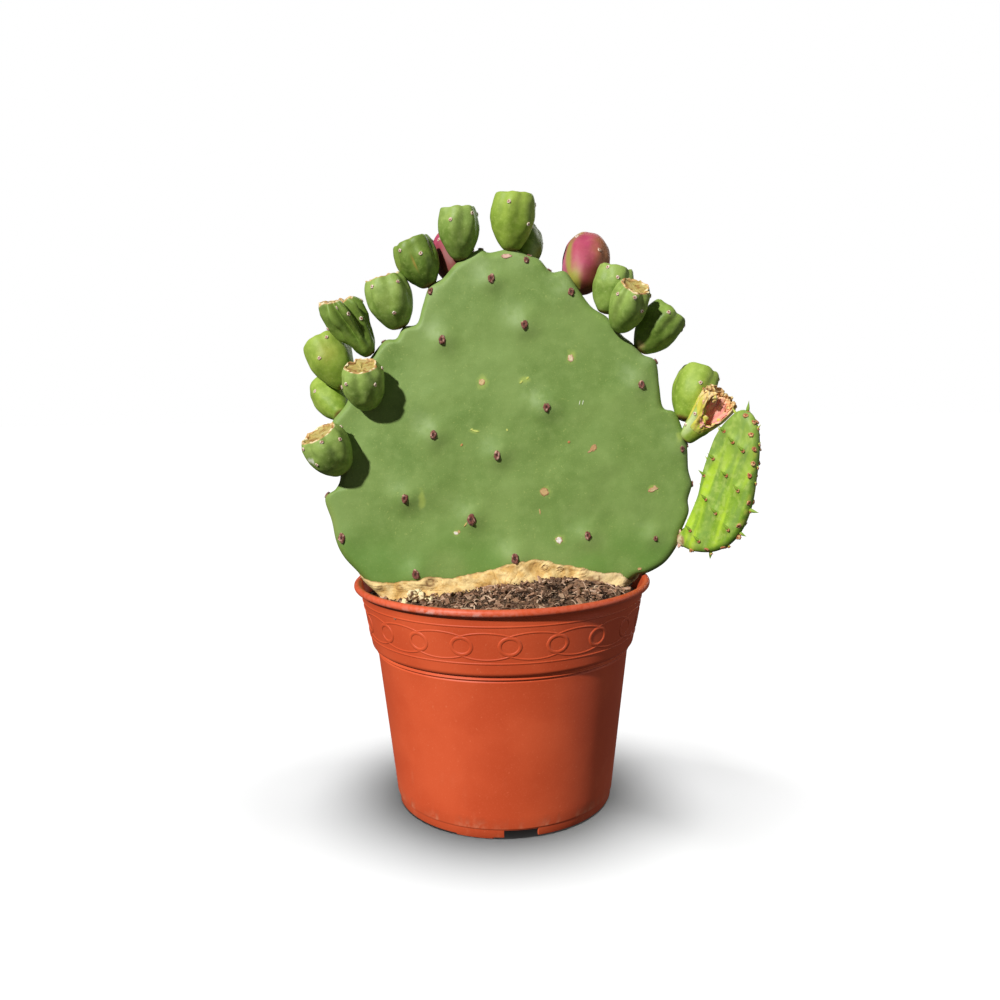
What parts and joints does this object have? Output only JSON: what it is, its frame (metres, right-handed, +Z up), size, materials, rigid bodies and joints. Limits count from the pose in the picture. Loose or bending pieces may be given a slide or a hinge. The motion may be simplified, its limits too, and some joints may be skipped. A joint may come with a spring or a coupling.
{
  "type": "potted paddle cactus",
  "caption": "Paddle cactus in a tapered nursery pot: a large old paddle on a corky foot, fruits along its upper edge, a withered flower and a young paddle.",
  "frame": {"origin": "on the floor, under the middle of the whole plant's bounding box, 16.7 mm to the right of the pot's axis", "axes": "+Z up; +X to the right as seen from the front; the broad front face of the old paddle faces -Y"},
  "size_m": [0.2961, 0.2008, 0.4085],
  "materials": {
    "pot_plastic": "moulded terracotta-coloured thermoplastic, satin, with a raised ring-chain band and fine scratches",
    "soil_mulch": "dark fibrous potting mulch with paler chips and fibres",
    "cork_bark": "lumpy golden-tan cork, cracked, dry and matt",
    "old_flesh": "waxy blue-green skin, satin, with woolly areoles and old scars",
    "young_flesh": "bright yellow-green tender skin with small pointed leaves over tan tufts",
    "fruit_green": "smooth waxy green skin with a soft sheen and small areoles",
    "fruit_ripe": "ripening magenta-pink skin with yellow-green streaks",
    "petal_tan": "dry curled petals, tan and yellow with a pink hollow"
  },
  "bodies": {
    "root": {"pot": "pot_plastic", "soil": "soil_mulch", "corky_base": "cork_bark", "main_paddle": "old_flesh", "young_paddle": "young_flesh", "fruit_01": "fruit_green", "fruit_02": "fruit_green", "fruit_03": "fruit_green", "fruit_04": "fruit_green", "fruit_05": "fruit_green", "fruit_06": "fruit_green", "fruit_07": "fruit_green", "fruit_08": "fruit_ripe", "fruit_09": "fruit_green", "fruit_10": "fruit_green", "fruit_11": "fruit_green", "fruit_12": "fruit_ripe", "fruit_13": "fruit_green", "fruit_14": "fruit_green", "fruit_15": "fruit_green", "fruit_16": "fruit_green", "flower_ovary": "fruit_green", "withered_flower": "petal_tan"}
  },
  "joints": []
}
